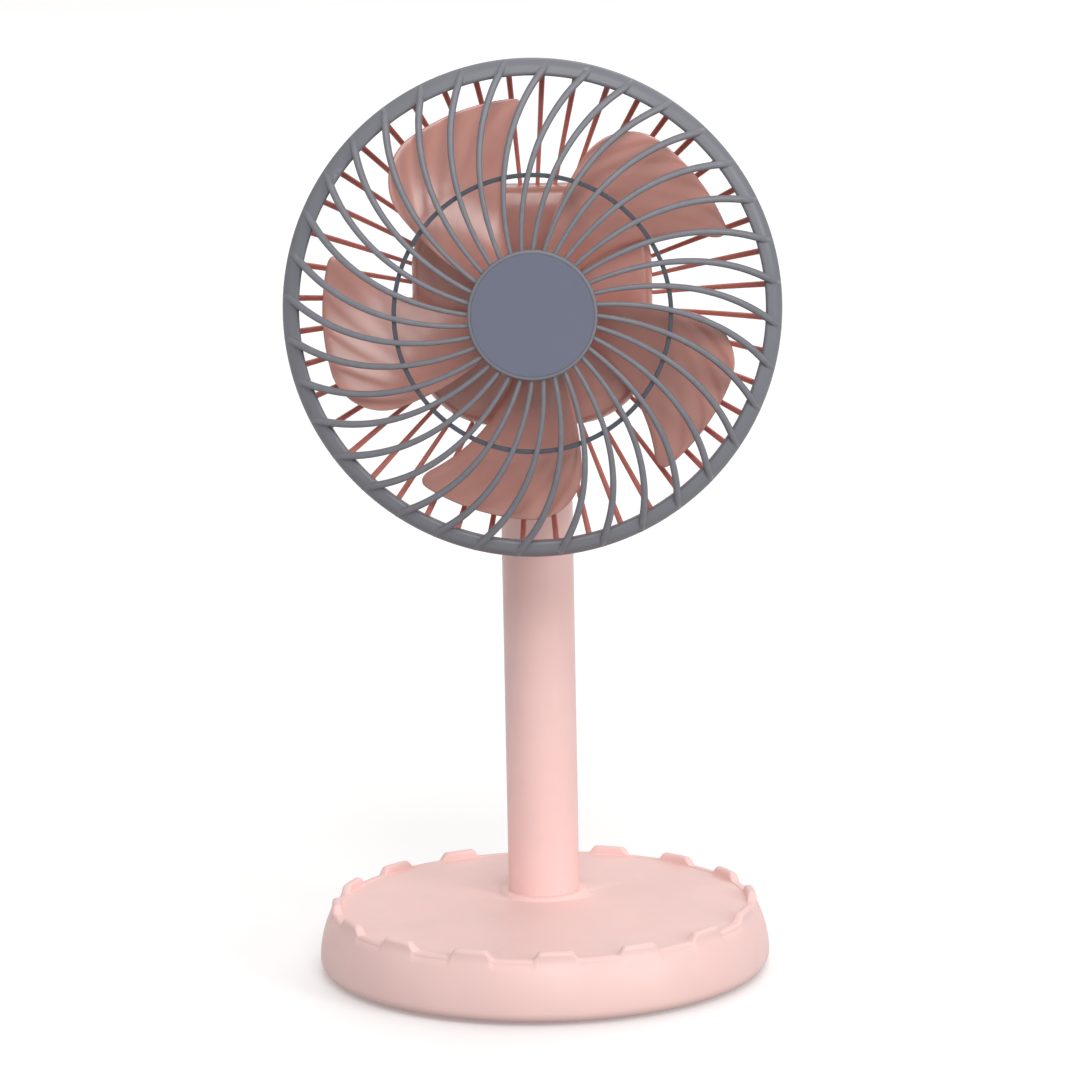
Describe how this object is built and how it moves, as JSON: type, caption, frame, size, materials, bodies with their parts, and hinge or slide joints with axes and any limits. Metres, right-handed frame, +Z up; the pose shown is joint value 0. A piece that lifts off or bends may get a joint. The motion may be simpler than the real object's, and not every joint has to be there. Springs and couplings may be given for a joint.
{
  "type": "desk pedestal fan",
  "caption": "Small desk pedestal fan: round guard with swirled ribs, swept blades and a motor in a tilting head, on a plain round pole and a disc base with a notched rim.",
  "frame": {"origin": "middle of the disc base, on the surface that the fan stands on", "axes": "+Z up; the guard's front faces -Y; +X is to the right seen from the front"},
  "size_m": [0.19, 0.182, 0.366],
  "materials": {
    "pink_plastic": "satin moulded plastic, pale pink",
    "rose_plastic": "smooth moulded plastic, pink that reads darker behind the guard",
    "grey_plastic": "satin moulded plastic, mid grey",
    "slate_badge": "satin flat disc, blue grey, no mark",
    "white_nylon": "natural nylon",
    "black_plastic": "black plastic and wire insulation",
    "rubber": "soft rubber",
    "steel": "zinc-plated or bright steel",
    "bronze": "sintered bronze",
    "copper": "enamelled copper wire and copper segments",
    "circuit_board": "green solder mask",
    "cell_wrap": "shrink sleeve",
    "magnet": "sintered ferrite"
  },
  "bodies": {
    "base": {"base_shell": "pink_plastic", "base_cover": "pink_plastic", "ballast_plate": "steel", "rubber_foot_1": "rubber", "rubber_foot_2": "rubber", "rubber_foot_3": "rubber", "rubber_foot_4": "rubber", "base_screw_1": "steel", "base_screw_2": "steel", "base_screw_3": "steel", "base_screw_4": "steel", "battery_cell_1": "cell_wrap", "battery_cell_2": "cell_wrap", "control_board": "circuit_board", "board_screw_1": "steel", "board_screw_2": "steel", "charging_socket": "steel", "speed_switch": "black_plastic", "pole": "pink_plastic", "pole_anchor": "white_nylon", "anchor_screw_1": "steel", "anchor_screw_2": "steel", "neck_yoke": "pink_plastic", "hinge_bolt": "steel", "hinge_nut": "steel", "friction_washer_left": "white_nylon", "friction_washer_right": "white_nylon", "hinge_cap_left": "pink_plastic", "hinge_cap_right": "pink_plastic", "supply_lead": "black_plastic"},
    "button": {"speed_button": "grey_plastic"},
    "head": {"front_grille": "grey_plastic", "grille_badge": "slate_badge", "rear_grille": "rose_plastic", "motor_back_cover": "pink_plastic", "cover_screw_1": "steel", "cover_screw_2": "steel", "cover_screw_3": "steel", "cover_screw_4": "steel", "tilt_knuckle": "pink_plastic", "knuckle_screw_1": "steel", "knuckle_screw_2": "steel", "knuckle_screw_3": "steel", "knuckle_screw_4": "steel", "motor_can": "steel", "motor_end_bell": "black_plastic", "magnet_left": "magnet", "magnet_right": "magnet", "front_bush": "bronze", "rear_bush": "bronze", "motor_screw_1": "steel", "motor_screw_2": "steel", "motor_lead": "black_plastic"},
    "rotor": {"fan_blade": "rose_plastic", "motor_shaft": "steel", "armature": "steel", "winding_1": "copper", "winding_2": "copper", "winding_3": "copper", "commutator": "copper"}
  },
  "joints": [
    {"name": "head_tilt", "type": "hinge", "parent": "base", "child": "head", "pos_m": [0, 0.02, 0.247], "axis": [-1, 0, 0], "range_deg": [-10, 60]},
    {"name": "blade_spin", "type": "hinge", "parent": "head", "child": "rotor", "pos_m": [0, -0.047, 0.271], "axis": [0, 1, 0], "continuous": true},
    {"name": "button_press", "type": "slide", "parent": "base", "child": "button", "axis": [0, -1, 0], "range_m": [0, 0.001], "stiffness_N_per_m": 600}
  ]
}
